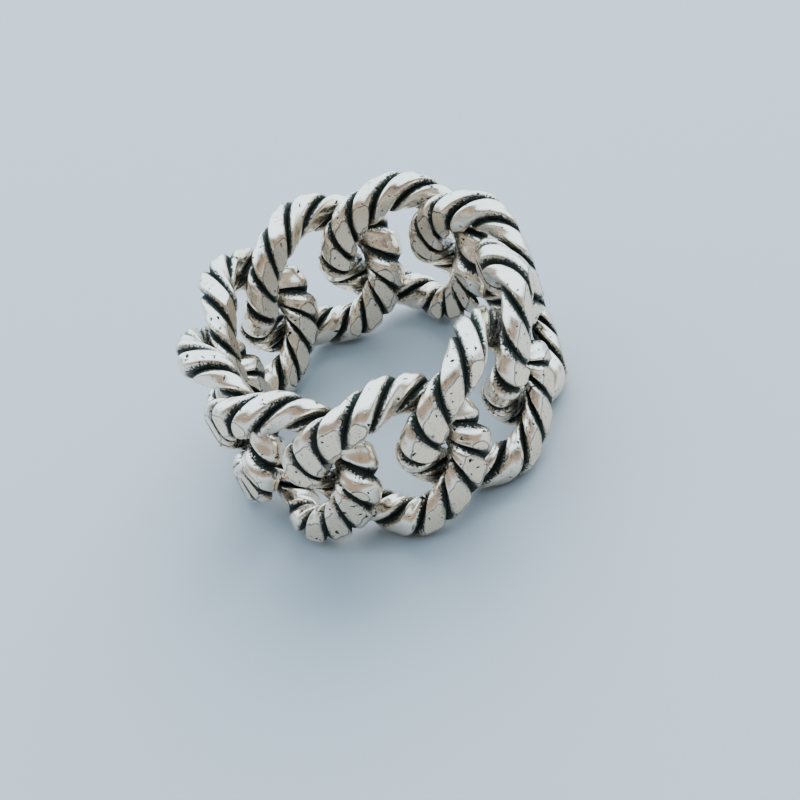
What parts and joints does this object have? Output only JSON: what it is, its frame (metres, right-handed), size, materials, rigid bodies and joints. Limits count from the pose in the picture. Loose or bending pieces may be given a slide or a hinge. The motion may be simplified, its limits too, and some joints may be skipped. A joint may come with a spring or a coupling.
{
  "type": "chain finger ring",
  "caption": "Finger ring made as an endless curb chain of oval rope links, each laid up from three silver wires, with flattened crowns and darkened grooves.",
  "frame": {"origin": "on the ring's axis, in the plane that the lowest crowns rest on", "axes": "+Z along the ring's axis; -Y through the middle of link 1; the links are numbered counterclockwise seen from +Z"},
  "size_m": [0.0238, 0.0238, 0.0127],
  "materials": {
    "silver": "polished silver with darkened grooves"
  },
  "bodies": {
    "link_1": {"link_1_wire_a": "silver", "link_1_wire_b": "silver", "link_1_wire_c": "silver"},
    "link_2": {"link_2_wire_a": "silver", "link_2_wire_b": "silver", "link_2_wire_c": "silver"},
    "link_3": {"link_3_wire_a": "silver", "link_3_wire_b": "silver", "link_3_wire_c": "silver"},
    "link_4": {"link_4_wire_a": "silver", "link_4_wire_b": "silver", "link_4_wire_c": "silver"},
    "link_5": {"link_5_wire_a": "silver", "link_5_wire_b": "silver", "link_5_wire_c": "silver"},
    "link_6": {"link_6_wire_a": "silver", "link_6_wire_b": "silver", "link_6_wire_c": "silver"},
    "link_7": {"link_7_wire_a": "silver", "link_7_wire_b": "silver", "link_7_wire_c": "silver"},
    "link_8": {"link_8_wire_a": "silver", "link_8_wire_b": "silver", "link_8_wire_c": "silver"},
    "link_9": {"link_9_wire_a": "silver", "link_9_wire_b": "silver", "link_9_wire_c": "silver"}
  },
  "joints": [
    {"name": "knot_1", "type": "hinge", "parent": "link_1", "child": "link_2", "pos_m": [0.00352, -0.00968, 0.00636], "axis": [0, 0, 1], "range_deg": [-4, 4]},
    {"name": "knot_2", "type": "hinge", "parent": "link_2", "child": "link_3", "pos_m": [0.00892, -0.00515, 0.00636], "axis": [0, 0, 1], "range_deg": [-4, 4]},
    {"name": "knot_3", "type": "hinge", "parent": "link_3", "child": "link_4", "pos_m": [0.01014, 0.00179, 0.00636], "axis": [0, 0, 1], "range_deg": [-4, 4]},
    {"name": "knot_4", "type": "hinge", "parent": "link_4", "child": "link_5", "pos_m": [0.00662, 0.00789, 0.00636], "axis": [0, 0, 1], "range_deg": [-4, 4]},
    {"name": "knot_5", "type": "hinge", "parent": "link_5", "child": "link_6", "pos_m": [0, 0.0103, 0.00636], "axis": [0, 0, 1], "range_deg": [-4, 4]},
    {"name": "knot_6", "type": "hinge", "parent": "link_6", "child": "link_7", "pos_m": [-0.00662, 0.00789, 0.00636], "axis": [0, 0, 1], "range_deg": [-4, 4]},
    {"name": "knot_7", "type": "hinge", "parent": "link_7", "child": "link_8", "pos_m": [-0.01014, 0.00179, 0.00636], "axis": [0, 0, 1], "range_deg": [-4, 4]},
    {"name": "knot_8", "type": "hinge", "parent": "link_8", "child": "link_9", "pos_m": [-0.00892, -0.00515, 0.00636], "axis": [0, 0, 1], "range_deg": [-4, 4]}
  ],
  "couplings": [
    {"joint": "knot_3", "follows": "knot_1", "ratio": -0.8524},
    {"joint": "knot_5", "follows": "knot_1", "ratio": 0.6805},
    {"joint": "knot_7", "follows": "knot_1", "ratio": -0.3332},
    {"joint": "knot_6", "follows": "knot_8", "ratio": -0.8524},
    {"joint": "knot_4", "follows": "knot_8", "ratio": 0.6805},
    {"joint": "knot_2", "follows": "knot_8", "ratio": -0.3332}
  ]
}
